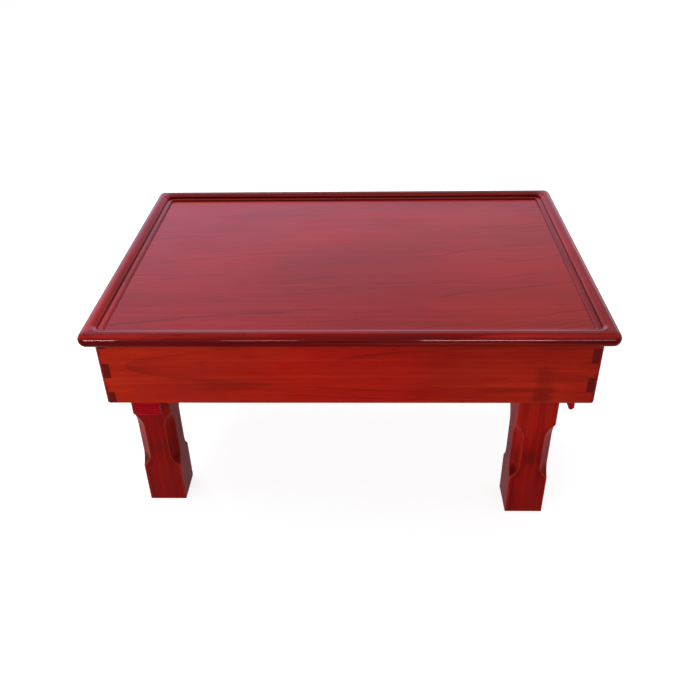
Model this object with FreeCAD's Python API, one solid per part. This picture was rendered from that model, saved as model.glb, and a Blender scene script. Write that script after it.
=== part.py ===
import FreeCAD, Part

# Rectangular low table with four folding legs, as separate wooden, steel and moulded pieces.
# Millimetres. The origin is on the floor under the middle of the table, +X runs along the long
# side, +Y to the back and +Z up. The legs stand in a pinwheel, so all four corners hold the same
# unit, turned in steps of 90 degrees.

import math
import os

# Driving dimensions of the top
TABLE_WIDTH = 600.0
TABLE_DEPTH = 420.0
TABLE_HEIGHT = 292.0
RIM_THICKNESS = 18.0
RIM_CORNER_RADIUS = 9.4
BULLNOSE_LAND = 0.1
CREST_INSET = 10.0
SLOPE_WIDTH = 7.0
SLOPE_DROP = 3.4
SLOPE_CROWN = 0.7
QUIRK_DROP = 2.1
LEDGE_WIDTH = 4.3
BEAD_WIDTH = 3.2
BEAD_DROP = 2.5
BEAD_CROWN = 0.8
TRAY_CORNER_RADIUS = 2.0
PANEL_THICKNESS = 10.0
PANEL_GAP = 0.1
TONGUE_SETBACK = 1.0
TONGUE_THICKNESS = 3.0
GROOVE_DEPTH = 4.5
TONGUE_END_GAP = 0.4
SPLINE_THICKNESS = 3.0
SPLINE_LENGTH = 14.0
SPLINE_WIDTH = 10.0
SPLINE_INSET = 12.0
GLUE_GAP = 0.05

# Driving dimensions of the apron
APRON_OVERHANG = 14.0
APRON_THICKNESS = 12.0
APRON_HEIGHT = 85.0
APRON_CORNER_RADIUS = 4.0
APRON_EDGE_RADIUS = 2.0
FIRST_FINGER = 17.0
FINGER_PITCH = 20.0
DOWEL_RADIUS = 3.0
DOWEL_IN_APRON = 18.0
DOWEL_ROOF = 1.0
DOWEL_PITCH = 130.0

# Driving dimensions of the legs
LEG_SECTION = 48.0
LEG_END_GAP = 23.5
LEG_SIDE_CLEARANCE = 0.4
LEG_EDGE_RADIUS = 1.0
HEEL_CLEARANCE = 0.4
CHAMFER_WIDTH = 11.0
CHAMFER_BOTTOM = 58.0
CHAMFER_BOTTOM_RUN = 21.0
CHAMFER_HEIGHT = 88.0
CHAMFER_TOP_RUN = 23.0
DETENT_RADIUS = 3.0
DETENT_DEPTH = 2.5
DETENT_ANGLE = 38.0
FOLD_ANGLE = 90.0

# Driving dimensions of the hinge brackets and pins
BRACKET_GAUGE = 1.6
BRACKET_BEND_RADIUS = 0.8
PIVOT_LOBE_RADIUS = 16.0
REAR_LOBE_RADIUS = 9.0
STOP_LOBE_RADIUS = 8.0
PIVOT_PIN_RADIUS = 4.0
STOP_PIN_RADIUS = 3.0
STOP_PIN_DROP = 46.0
STOP_GAP = 0.3
LEVER_PIN_RADIUS = 2.0
RIVET_HEAD_OVERLAP = 2.5
RIVET_HEAD_HEIGHT = 2.0
RUNNING_CLEARANCE = 0.08
BACK_PLATE_LAP = 3.0

# Driving dimensions of the lock levers and their springs
LEVER_PIN_INSET = 9.0
LEVER_PIN_DROP = 18.0
LEVER_DROP = 29.5
LEVER_WIDTH = 30.0
LEVER_SIDE_GAP = 5.6
LEVER_END_CLEARANCE = 0.3
LEVER_HUB_RADIUS = 5.0
LEVER_ARM_RADIUS = 2.6
TAB_INSET = 1.5
TAB_THICKNESS = 6.6
NOSE_TIP_RADIUS = 1.5
NOSE_CLEARANCE = 0.4
RIB_RADIUS = 0.8
RIB_PITCH = 2.4
RIB_COUNT = 6
SPRING_THICKNESS = 0.5
SPRING_WIDTH = 10.0
SPRING_SPAN = 22.0
SPRING_FOOT = 3.0
SPRING_GAP = 0.3

# Driving dimensions of the bracket screws
SCREW_RADIUS = 1.6
SCREW_HEAD_RADIUS = 3.4
SCREW_HEAD_HEIGHT = 1.9
SCREW_LENGTH = 10.0
SCREW_TIP = 2.5
SCREW_EDGE = 10.0

# Heights that follow from the driving dimensions
RIM_BOTTOM = TABLE_HEIGHT - RIM_THICKNESS
SLOPE_FOOT = TABLE_HEIGHT - SLOPE_DROP
LEDGE_HEIGHT = SLOPE_FOOT - QUIRK_DROP
PANEL_TOP = LEDGE_HEIGHT - BEAD_DROP
PANEL_BOTTOM = PANEL_TOP - PANEL_THICKNESS
TONGUE_TOP = PANEL_TOP - TONGUE_SETBACK
TONGUE_BOTTOM = TONGUE_TOP - TONGUE_THICKNESS
APRON_BOTTOM = RIM_BOTTOM - APRON_HEIGHT
HEEL_RADIUS = LEG_SECTION / 2
PIVOT_HEIGHT = PANEL_BOTTOM - BRACKET_GAUGE - HEEL_CLEARANCE - HEEL_RADIUS
LEVER_PIN_HEIGHT = PIVOT_HEIGHT - LEVER_PIN_DROP
STOP_PIN_HEIGHT = PIVOT_HEIGHT - STOP_PIN_DROP

# Distances in from the rim's outer edge
LEDGE_START = CREST_INSET + SLOPE_WIDTH
BEAD_START = LEDGE_START + LEDGE_WIDTH
RIM_WIDTH = BEAD_START + BEAD_WIDTH
APRON_INNER = APRON_OVERHANG + APRON_THICKNESS

# A corner unit's own frame: x runs from the apron board that carries the lock lever, along the
# fold, and "across" is the distance from the board that the leg folds along, which is minus y.
LEG_SIDE = BRACKET_GAUGE + LEG_SIDE_CLEARANCE
BRACKET_WIDTH = LEG_SECTION + 2 * LEG_SIDE
BRACKET_LENGTH = LEG_END_GAP + LEG_SECTION
PIVOT_X = LEG_END_GAP + HEEL_RADIUS
STOP_PIN_X = LEG_END_GAP - STOP_GAP - STOP_PIN_RADIUS

# Each corner: name, turn of the unit's frame, and which end of X and Y the corner lies at
CORNERS = (
    ("front_left", 90, -1, -1),
    ("front_right", 180, 1, -1),
    ("back_right", 270, 1, 1),
    ("back_left", 0, -1, 1),
)

# Each side: name, turn of a front piece that makes it, its length, and its distance from the middle
SIDES = (
    ("front", 0, TABLE_WIDTH, TABLE_DEPTH / 2),
    ("right", 90, TABLE_DEPTH, TABLE_WIDTH / 2),
    ("back", 180, TABLE_WIDTH, TABLE_DEPTH / 2),
    ("left", 270, TABLE_DEPTH, TABLE_WIDTH / 2),
)

Vector = FreeCAD.Vector
UP = Vector(0, 0, 1)


def turned(shape, degrees):
    """A copy of a shape turned about the table's vertical axis."""
    copy = shape.copy()
    copy.rotate(Vector(0, 0, 0), UP, degrees)
    return copy


def at_corner(shape, corner):
    """A corner unit's shape, moved from its own frame to a corner of the apron."""
    name, degrees, side_x, side_y = corner
    placed = turned(shape, degrees)
    placed.translate(Vector(
        side_x * (TABLE_WIDTH / 2 - APRON_INNER),
        side_y * (TABLE_DEPTH / 2 - APRON_INNER),
        0))
    return placed


def box(low, high):
    """A box between two opposite corners."""
    size = Vector(*high) - Vector(*low)
    return Part.makeBox(size.x, size.y, size.z, Vector(*low))


def rounded_slab(inset, radius, bottom, top):
    """A slab with the table's outline, set in from the rim's outer edge, with rounded corners."""
    half_x = TABLE_WIDTH / 2 - inset
    half_y = TABLE_DEPTH / 2 - inset
    slab = box((-half_x, -half_y, bottom), (half_x, half_y, top))
    uprights = [edge for edge in slab.Edges if abs(edge.tangentAt(edge.FirstParameter).z) > 0.5]
    return slab.makeFillet(radius, uprights)


def outline_edges(shape, inset, height):
    """The edges of a shape that run round the table at one inset and height."""
    half_x = TABLE_WIDTH / 2 - inset
    half_y = TABLE_DEPTH / 2 - inset

    def on_outline(vertex):
        beyond = max(abs(vertex.X) - half_x, abs(vertex.Y) - half_y)
        return abs(beyond) < 1e-5 and abs(vertex.Z - height) < 1e-5

    return [edge for edge in shape.Edges if all(on_outline(vertex) for vertex in edge.Vertexes)]


def tray_radius(inset):
    """The corner radius of the moulding's outline at a distance in from the rim's outer edge."""
    return TRAY_CORNER_RADIUS + RIM_WIDTH - inset


def crowned(start, end, crown):
    """An arc in the y-z plane that falls from start to end and stands above its chord by a crown."""
    chord = end - start
    upward = Vector(0, -chord.z, chord.y).normalize()
    return Part.Arc(start, (start + end) * 0.5 + upward * crown, end).toShape()


def opening_section(reach):
    """Half a section of the tray's opening, in the y-z plane, from the rim's moulding to an axis at y = 0."""

    def point(inset, height):
        return Vector(0, inset - reach, height)

    crest = point(CREST_INSET, TABLE_HEIGHT)
    slope_foot = point(LEDGE_START, SLOPE_FOOT)
    bead_top = point(BEAD_START, LEDGE_HEIGHT)
    bead_foot = point(RIM_WIDTH, PANEL_TOP)
    ledge = Part.makePolygon([slope_foot, point(LEDGE_START, LEDGE_HEIGHT), bead_top])
    inside = Part.makePolygon([
        bead_foot, point(RIM_WIDTH, RIM_BOTTOM), point(reach, RIM_BOTTOM), point(reach, TABLE_HEIGHT), crest])
    outline = [crowned(crest, slope_foot, SLOPE_CROWN), *ledge.Edges]
    outline += [crowned(bead_top, bead_foot, BEAD_CROWN), *inside.Edges]
    return Part.Face(Part.Wire(outline))


def tray_opening():
    """The opening inside the rim: its section carried along the four sides and round the four corners."""
    reach = RIM_WIDTH + TRAY_CORNER_RADIUS
    section = opening_section(reach)
    pieces = []
    for name, degrees, length, distance in SIDES:
        half_run = length / 2 - reach
        side = section.copy()
        side.translate(Vector(-half_run, reach - distance, 0))
        pieces.append(turned(side.extrude(Vector(2 * half_run, 0, 0)), degrees))
        axis = Vector(half_run, reach - distance, 0)
        corner = section.copy()
        corner.translate(axis)
        pieces.append(turned(corner.revolve(axis, UP, 90), degrees))
    half_x = TABLE_WIDTH / 2 - reach
    half_y = TABLE_DEPTH / 2 - reach
    middle = box((-half_x, -half_y, RIM_BOTTOM), (half_x, half_y, TABLE_HEIGHT))
    return middle.multiFuse(pieces).removeSplitter()


def rim_frame():
    """The whole rim before it is cut into rails: bull-nosed outside, sloped and beaded inside."""
    slab = rounded_slab(0, RIM_CORNER_RADIUS, RIM_BOTTOM, TABLE_HEIGHT)
    nose_radius = min(RIM_THICKNESS / 2, RIM_CORNER_RADIUS) - BULLNOSE_LAND / 2
    edges = outline_edges(slab, 0, TABLE_HEIGHT) + outline_edges(slab, 0, RIM_BOTTOM)
    slab = slab.makeFillet(nose_radius, edges)
    groove_inset = RIM_WIDTH - GROOVE_DEPTH
    groove = rounded_slab(groove_inset, tray_radius(groove_inset), TONGUE_BOTTOM, TONGUE_TOP)
    return slab.cut(tray_opening()).cut(groove).removeSplitter()


def mitre_wedge(length, distance):
    """The space of one front rail: all that lies between the two mitre planes."""
    reach = RIM_WIDTH + TRAY_CORNER_RADIUS
    half = length / 2
    corners = [
        Vector(-half, -distance, RIM_BOTTOM),
        Vector(half, -distance, RIM_BOTTOM),
        Vector(half - reach, -distance + reach, RIM_BOTTOM),
        Vector(-half + reach, -distance + reach, RIM_BOTTOM),
    ]
    face = Part.Face(Part.makePolygon(corners + corners[:1]))
    return face.extrude(UP * RIM_THICKNESS)


def mitre_splines(gap):
    """The loose splines across the four rim mitres, larger by a gap all round to cut their slots."""
    middle = RIM_BOTTOM + RIM_THICKNESS / 2
    half_size = (SPLINE_WIDTH / 2 + gap, SPLINE_LENGTH / 2 + gap, SPLINE_THICKNESS / 2 + gap)
    splines = []
    for name, degrees, side_x, side_y in CORNERS:
        spline = box([-half for half in half_size], half_size)
        spline.rotate(Vector(0, 0, 0), UP, 45 * side_x * side_y)
        spline.translate(Vector(
            side_x * (TABLE_WIDTH / 2 - SPLINE_INSET),
            side_y * (TABLE_DEPTH / 2 - SPLINE_INSET),
            middle))
        splines.append(spline)
    return Part.makeCompound(splines)


def dowels(gap):
    """The dowels that stand in the apron's top edge and reach up into the rim's underside."""
    bottom = RIM_BOTTOM - DOWEL_IN_APRON - gap
    top = TONGUE_BOTTOM - DOWEL_ROOF + gap
    pieces = []
    for name, degrees, length, distance in SIDES:
        run = length - 2 * APRON_INNER
        count = int(run // DOWEL_PITCH)
        for index in range(count):
            along = (index - (count - 1) / 2) * DOWEL_PITCH
            foot = Vector(along, -distance + APRON_OVERHANG + APRON_THICKNESS / 2, bottom)
            pieces.append(turned(Part.makeCylinder(DOWEL_RADIUS + gap, top - bottom, foot, UP), degrees))
    return Part.makeCompound(pieces)


def rim_rails():
    """The four mitred rails, slotted for the splines and bored for the dowels."""
    frame = rim_frame().cut(mitre_splines(GLUE_GAP)).cut(dowels(GLUE_GAP))
    return {
        "rim_" + name: frame.common(turned(mitre_wedge(length, distance), degrees))
        for name, degrees, length, distance in SIDES
    }


def top_panel():
    """The panel: a field level with the bead's foot, and a tongue that sits in the rim's groove."""
    field_inset = RIM_WIDTH + PANEL_GAP
    tongue_inset = RIM_WIDTH - GROOVE_DEPTH + TONGUE_END_GAP
    under_inset = max(RIM_WIDTH, APRON_INNER) + PANEL_GAP
    field_radius = TRAY_CORNER_RADIUS - PANEL_GAP
    panel = rounded_slab(field_inset, field_radius, TONGUE_BOTTOM, PANEL_TOP)
    panel = panel.fuse(rounded_slab(tongue_inset, tray_radius(tongue_inset), TONGUE_BOTTOM, TONGUE_TOP))
    return panel.fuse(rounded_slab(under_inset, field_radius, PANEL_BOTTOM, TONGUE_BOTTOM))


def finger_spans():
    """Bottom and top of each finger of the corner joints, from the apron's lower edge upwards."""
    cuts = [0.0]
    height = FIRST_FINGER
    while height < APRON_HEIGHT:
        cuts.append(height)
        height += FINGER_PITCH
    cuts.append(APRON_HEIGHT)
    return [(APRON_BOTTOM + low, APRON_BOTTOM + high) for low, high in zip(cuts, cuts[1:])]


def apron_board(length, distance):
    """A front apron board: its right end has the lowest finger and every other one, its left end the rest."""
    half = length / 2 - APRON_OVERHANG
    face = -distance + APRON_OVERHANG
    back = face + APRON_THICKNESS
    board = box((-half, face, APRON_BOTTOM), (half, back, RIM_BOTTOM))
    for index, (low, high) in enumerate(finger_spans()):
        if index % 2 == 0:
            notch = box((-half, face, low), (-half + APRON_THICKNESS, back, high))
        else:
            notch = box((half - APRON_THICKNESS, face, low), (half, back, high))
        board = board.cut(notch)
    return board


def apron_boards():
    """The four finger-jointed boards, rounded at the corners and along the lower outer edge."""
    block = rounded_slab(APRON_OVERHANG, APRON_CORNER_RADIUS, APRON_BOTTOM, RIM_BOTTOM)
    block = block.makeFillet(APRON_EDGE_RADIUS, outline_edges(block, APRON_OVERHANG, APRON_BOTTOM))
    block = block.cut(dowels(GLUE_GAP)).cut(placed_screws(GLUE_GAP))
    return {
        "apron_" + name: block.common(turned(apron_board(length, distance), degrees))
        for name, degrees, length, distance in SIDES
    }


def across(face, near, far):
    """A solid from a face in the unit's x-z plane, between two distances from the leg's own board."""
    copy = face.copy()
    copy.translate(Vector(0, -near, 0))
    return copy.extrude(Vector(0, near - far, 0))


def rod(x, height, radius, near, far):
    """A round rod along the unit's pivot direction."""
    return Part.makeCylinder(radius, far - near, Vector(x, -near, height), Vector(0, -1, 0))


def link_face(start, start_radius, end, end_radius):
    """The outline of a flat link: two circles in the x-z plane and their outer tangents."""
    start = Vector(start[0], 0, start[1])
    end = Vector(end[0], 0, end[1])
    along = math.atan2(end.z - start.z, end.x - start.x)
    spread = math.acos((start_radius - end_radius) / start.distanceToPoint(end))

    def rim_point(centre, radius, angle):
        return centre + Vector(radius * math.cos(angle), 0, radius * math.sin(angle))

    start_left = rim_point(start, start_radius, along + spread)
    start_right = rim_point(start, start_radius, along - spread)
    end_left = rim_point(end, end_radius, along + spread)
    end_right = rim_point(end, end_radius, along - spread)
    outline = [
        Part.makeLine(start_left, end_left),
        Part.Arc(end_left, rim_point(end, end_radius, along), end_right).toShape(),
        Part.makeLine(end_right, start_right),
        Part.Arc(start_right, rim_point(start, start_radius, along + math.pi), start_left).toShape(),
    ]
    return Part.Face(Part.Wire(outline))


def heel_point(radius, degrees):
    """A point at a radius from the leg's pivot, turned up from the outward direction."""
    angle = math.radians(degrees)
    return PIVOT_X - radius * math.cos(angle), PIVOT_HEIGHT + radius * math.sin(angle)


def chamfer_cutter():
    """The waste of one stop chamfer, on an edge along z at the origin of x and y, outward being +x."""
    depth = CHAMFER_WIDTH / math.sqrt(2)
    top = CHAMFER_BOTTOM + CHAMFER_HEIGHT
    waist_low = CHAMFER_BOTTOM + CHAMFER_BOTTOM_RUN
    waist_high = top - CHAMFER_TOP_RUN

    def run_out(end_height, waist_height):
        run = waist_height - end_height
        radius = (depth ** 2 + run ** 2) / (2 * depth)
        half_angle = math.asin(run / radius) / 2
        middle = Vector(
            radius - depth - radius * math.cos(half_angle), 0, waist_height - radius * math.sin(half_angle))
        return Part.Arc(Vector(0, 0, end_height), middle, Vector(-depth, 0, waist_height)).toShape()

    outline = [
        run_out(CHAMFER_BOTTOM, waist_low),
        Part.makeLine(Vector(-depth, 0, waist_low), Vector(-depth, 0, waist_high)),
        run_out(top, waist_high),
        Part.makeLine(Vector(0, 0, top), Vector(depth, 0, top)),
        Part.makeLine(Vector(depth, 0, top), Vector(depth, 0, CHAMFER_BOTTOM)),
        Part.makeLine(Vector(depth, 0, CHAMFER_BOTTOM), Vector(0, 0, CHAMFER_BOTTOM)),
    ]
    face = Part.Face(Part.Wire(Part.__sortEdges__(outline)))
    face.translate(Vector(0, -CHAMFER_WIDTH, 0))
    return face.extrude(Vector(0, 2 * CHAMFER_WIDTH, 0))


def leg():
    """A leg: square in section, waisted by four stop chamfers, its round heel notched for the lock."""
    near_x = LEG_END_GAP
    far_x = LEG_END_GAP + LEG_SECTION
    outline = [
        Part.makeLine(Vector(near_x, 0, PIVOT_HEIGHT), Vector(near_x, 0, 0)),
        Part.makeLine(Vector(near_x, 0, 0), Vector(far_x, 0, 0)),
        Part.makeLine(Vector(far_x, 0, 0), Vector(far_x, 0, PIVOT_HEIGHT)),
        Part.Arc(
            Vector(far_x, 0, PIVOT_HEIGHT),
            Vector(PIVOT_X, 0, PIVOT_HEIGHT + HEEL_RADIUS),
            Vector(near_x, 0, PIVOT_HEIGHT)).toShape(),
    ]
    body = across(Part.Face(Part.Wire(outline)), LEG_SIDE, LEG_SIDE + LEG_SECTION)
    sides = (-LEG_SIDE, -LEG_SIDE - LEG_SECTION)
    arrises = [
        edge for edge in body.Edges
        if abs(edge.Vertexes[0].Y - edge.Vertexes[1].Y) < 1e-6
        and edge.BoundBox.ZLength > HEEL_RADIUS / 2
    ]
    body = body.makeFillet(LEG_EDGE_RADIUS, arrises)
    for x, outward_x in ((near_x, -1), (far_x, 1)):
        for y, outward_y in zip(sides, (1, -1)):
            cutter = turned(chamfer_cutter(), math.degrees(math.atan2(outward_y, outward_x)))
            cutter.translate(Vector(x, y, 0))
            body = body.cut(cutter)
    for angle in (DETENT_ANGLE, DETENT_ANGLE + FOLD_ANGLE):
        x, height = heel_point(HEEL_RADIUS + DETENT_RADIUS - DETENT_DEPTH, angle)
        body = body.cut(rod(x, height, DETENT_RADIUS, 0, BRACKET_WIDTH))
    bore_radius = PIVOT_PIN_RADIUS + RUNNING_CLEARANCE
    return body.cut(rod(PIVOT_X, PIVOT_HEIGHT, bore_radius, 0, BRACKET_WIDTH))


def screw(gap):
    """A countersunk screw pointing up from z = 0, larger by a gap all round to cut its hole."""
    profile = [
        Vector(0, 0, 0),
        Vector(SCREW_HEAD_RADIUS + gap, 0, 0),
        Vector(SCREW_RADIUS + gap, 0, SCREW_HEAD_HEIGHT),
        Vector(SCREW_RADIUS + gap, 0, SCREW_LENGTH - SCREW_TIP + gap),
        Vector(0, 0, SCREW_LENGTH + gap),
    ]
    face = Part.Face(Part.makePolygon(profile + profile[:1]))
    return face.revolve(Vector(0, 0, 0), UP, 360)


def unit_screws(gap):
    """One bracket's screws: four up into the panel and two through the cheek into the apron board."""
    screws = []
    for x in (SCREW_EDGE, BRACKET_LENGTH - SCREW_EDGE):
        for distance in (SCREW_EDGE, BRACKET_WIDTH - SCREW_EDGE):
            upward = screw(gap)
            upward.translate(Vector(x, -distance, PANEL_BOTTOM - BRACKET_GAUGE))
            screws.append(upward)
        sideways = screw(gap)
        sideways.rotate(Vector(0, 0, 0), Vector(1, 0, 0), -90)
        sideways.translate(Vector(x, -BRACKET_GAUGE, PANEL_BOTTOM - SCREW_EDGE))
        screws.append(sideways)
    return Part.makeCompound(screws)


def placed_screws(gap):
    """The screws of all four brackets."""
    return Part.makeCompound([at_corner(unit_screws(gap), corner) for corner in CORNERS])


def cheek_outline():
    """A bracket's side view: a strip under the panel, and links from its pivot and rear to the stop pin."""
    stop = (STOP_PIN_X, STOP_PIN_HEIGHT)
    strip = box((0, -BRACKET_WIDTH, PIVOT_HEIGHT), (BRACKET_LENGTH, 0, PANEL_BOTTOM))
    front = link_face((PIVOT_X, PIVOT_HEIGHT), PIVOT_LOBE_RADIUS, stop, STOP_LOBE_RADIUS)
    rear = link_face((REAR_LOBE_RADIUS, PIVOT_HEIGHT), REAR_LOBE_RADIUS, stop, STOP_LOBE_RADIUS)
    links = across(front, 0, BRACKET_WIDTH).fuse(across(rear, 0, BRACKET_WIDTH))
    return strip.fuse(links).removeSplitter()


def channel():
    """A bent channel, open downwards, with its bends rounded inside and out."""
    bottom = STOP_PIN_HEIGHT - STOP_LOBE_RADIUS
    outside = box((0, -BRACKET_WIDTH, bottom), (BRACKET_LENGTH, 0, PANEL_BOTTOM))
    inside = box(
        (0, BRACKET_GAUGE - BRACKET_WIDTH, bottom),
        (BRACKET_LENGTH, -BRACKET_GAUGE, PANEL_BOTTOM - BRACKET_GAUGE))

    def bends(shape):
        return [
            edge for edge in shape.Edges
            if edge.BoundBox.XLength > BRACKET_LENGTH / 2 and edge.BoundBox.ZMin > PIVOT_HEIGHT
        ]

    outside = outside.makeFillet(BRACKET_BEND_RADIUS + BRACKET_GAUGE, bends(outside))
    inside = inside.makeFillet(BRACKET_BEND_RADIUS, bends(inside))
    return outside.cut(inside)


def back_plate_bottom():
    """The lower edge of a bracket's back plate, which carries the leaf spring."""
    return spring_middle() - SPRING_SPAN / 2 - SPRING_FOOT - BACK_PLATE_LAP


def hinge_bracket():
    """A pressed steel channel over the leg's heel, with a back plate behind the lock lever."""
    bracket = channel().common(cheek_outline())
    back_plate = box(
        (0, -BRACKET_WIDTH + BRACKET_GAUGE, back_plate_bottom()),
        (BRACKET_GAUGE, -BRACKET_GAUGE, PANEL_BOTTOM - BRACKET_GAUGE))
    bracket = bracket.fuse(back_plate)
    for x, height, radius in pin_places():
        bracket = bracket.cut(rod(x, height, radius + GLUE_GAP, 0, BRACKET_WIDTH))
    return bracket.cut(unit_screws(GLUE_GAP)).removeSplitter()


def pin_places():
    """Where the pivot pin, stop pin and lever pin cross a bracket: x, height and radius."""
    return (
        (PIVOT_X, PIVOT_HEIGHT, PIVOT_PIN_RADIUS),
        (STOP_PIN_X, STOP_PIN_HEIGHT, STOP_PIN_RADIUS),
        (LEVER_PIN_INSET, LEVER_PIN_HEIGHT, LEVER_PIN_RADIUS),
    )


def rivet_head(base):
    """A low domed head with its flat face on z = 0, rising along +z."""
    dome_radius = (base ** 2 + RIVET_HEAD_HEIGHT ** 2) / (2 * RIVET_HEAD_HEIGHT)
    half_angle = math.asin(base / dome_radius) / 2
    top = Vector(0, 0, RIVET_HEAD_HEIGHT)
    rim = Vector(base, 0, 0)
    middle = top + Vector(math.sin(half_angle), 0, math.cos(half_angle) - 1) * dome_radius
    flat = Part.makePolygon([top, Vector(0, 0, 0), rim])
    outline = flat.Edges + [Part.Arc(rim, middle, top).toShape()]
    return Part.Face(Part.Wire(outline)).revolve(Vector(0, 0, 0), UP, 360)


def riveted_pin(x, height, radius):
    """A pin flush with the cheek against the board, with a domed rivet head on the other cheek."""
    head = rivet_head(radius + RIVET_HEAD_OVERLAP)
    head.rotate(Vector(0, 0, 0), Vector(1, 0, 0), 90)
    head.translate(Vector(x, -BRACKET_WIDTH, height))
    return rod(x, height, radius, 0, BRACKET_WIDTH).fuse(head)


def nose_point():
    """The middle of the lever nose's round tip, just clear of the leg's heel."""
    return heel_point(HEEL_RADIUS + NOSE_CLEARANCE + NOSE_TIP_RADIUS, DETENT_ANGLE)


def tab_point():
    """The middle of the round lower end of the lever's tab."""
    radius = TAB_THICKNESS / 2
    return TAB_INSET + radius, APRON_BOTTOM - LEVER_DROP + radius


def lock_lever():
    """A moulded press lever: a ribbed tab below the hub, and above it an arm with a nose at the heel."""
    far = BRACKET_WIDTH - BRACKET_GAUGE - LEVER_SIDE_GAP
    near = far - LEVER_WIDTH
    hub = (LEVER_PIN_INSET, LEVER_PIN_HEIGHT)
    tab_x, tab_height = tab_point()
    tip_x, tip_height = nose_point()
    shoulder = (LEVER_PIN_INSET, tip_height)
    faces = (
        link_face(hub, LEVER_HUB_RADIUS, (tab_x, tab_height), TAB_THICKNESS / 2),
        link_face(hub, LEVER_HUB_RADIUS, shoulder, LEVER_ARM_RADIUS),
        link_face(shoulder, LEVER_ARM_RADIUS, (tip_x, tip_height), NOSE_TIP_RADIUS),
    )
    lever = rod(
        LEVER_PIN_INSET, LEVER_PIN_HEIGHT, LEVER_HUB_RADIUS,
        BRACKET_GAUGE + LEVER_END_CLEARANCE, BRACKET_WIDTH - BRACKET_GAUGE - LEVER_END_CLEARANCE)
    for face in faces:
        lever = lever.fuse(across(face, near, far))
    for index in range(RIB_COUNT):
        height = tab_height + index * RIB_PITCH
        rib_x = lever_face_x(tab_point(), TAB_THICKNESS / 2, height)
        lever = lever.fuse(rod(rib_x, height, RIB_RADIUS, near, far))
    bore_radius = LEVER_PIN_RADIUS + RUNNING_CLEARANCE
    return lever.cut(rod(*hub, bore_radius, 0, BRACKET_WIDTH)).removeSplitter()


def lever_face_x(end, end_radius, height):
    """The x of the lever's outer face at a height, between the hub and a round end of the lever."""
    end_x, end_height = end
    share = (height - LEVER_PIN_HEIGHT) / (end_height - LEVER_PIN_HEIGHT)
    hub_face = LEVER_PIN_INSET - LEVER_HUB_RADIUS
    return hub_face + share * (end_x - end_radius - hub_face)


def spring_middle():
    """The height of the leaf spring's crown, halfway up the lever's arm."""
    return (LEVER_PIN_HEIGHT + LEVER_HUB_RADIUS + nose_point()[1]) / 2


def leaf_spring():
    """A bowed leaf between the bracket's back plate and the back of the lever's arm."""
    middle = spring_middle()
    shoulder = (LEVER_PIN_INSET, nose_point()[1])
    crown = lever_face_x(shoulder, LEVER_ARM_RADIUS, middle) - SPRING_GAP
    low = middle - SPRING_SPAN / 2
    high = middle + SPRING_SPAN / 2

    def bow(base, top):
        return Part.Arc(Vector(base, 0, low), Vector(top, 0, middle), Vector(base, 0, high)).toShape()

    back = BRACKET_GAUGE
    face = BRACKET_GAUGE + SPRING_THICKNESS
    ends = [
        [Vector(face, 0, end), Vector(face, 0, foot), Vector(back, 0, foot), Vector(back, 0, end)]
        for end, foot in ((low, low - SPRING_FOOT), (high, high + SPRING_FOOT))
    ]
    edges = [bow(back, crown - SPRING_THICKNESS), bow(face, crown)]
    for points in ends:
        edges += Part.makePolygon(points).Edges
    centre = BRACKET_WIDTH - BRACKET_GAUGE - LEVER_SIDE_GAP - LEVER_WIDTH / 2
    strip = Part.Face(Part.Wire(Part.__sortEdges__(edges)))
    return across(strip, centre - SPRING_WIDTH / 2, centre + SPRING_WIDTH / 2)


def corner_units():
    """The pieces of one corner, in the unit's own frame, by name."""
    pivot, stop, lever_pin = pin_places()
    return {
        "leg": leg(),
        "hinge_bracket": hinge_bracket(),
        "pivot_pin": riveted_pin(*pivot),
        "stop_pin": riveted_pin(*stop),
        "lock_lever": lock_lever(),
        "lever_pin": riveted_pin(*lever_pin),
        "lever_spring": leaf_spring(),
    }


def table():
    """Every node of the table, by name."""
    nodes = {"top_panel": top_panel().cut(placed_screws(GLUE_GAP))}
    nodes.update(rim_rails())
    nodes["mitre_splines"] = mitre_splines(0)
    nodes.update(apron_boards())
    nodes["apron_dowels"] = dowels(0)
    unit = corner_units()
    for corner in CORNERS:
        for piece, shape in unit.items():
            nodes[piece + "_" + corner[0]] = at_corner(shape, corner)
    nodes["bracket_screws"] = placed_screws(0)
    return nodes


os.makedirs("parts", exist_ok=True)
for node, shape in table().items():
    shape.exportStep(os.path.join("parts", node + ".step"))
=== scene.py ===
"""Dresses a folding low table: red lacquered wood, plated hinge hardware and moulded lock levers.

The solids stay where the frame puts them. This script gives each one its finish, breaks the arrises of the
timber by a hair, copies the leaf springs, cuts a drive recess in each screw, and sets up a pale studio and
the camera.
"""

import logging
import math
from dataclasses import dataclass, field
from enum import Enum
from typing import Optional, Union

import bmesh
import bpy
from mathutils import Matrix, Vector


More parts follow.
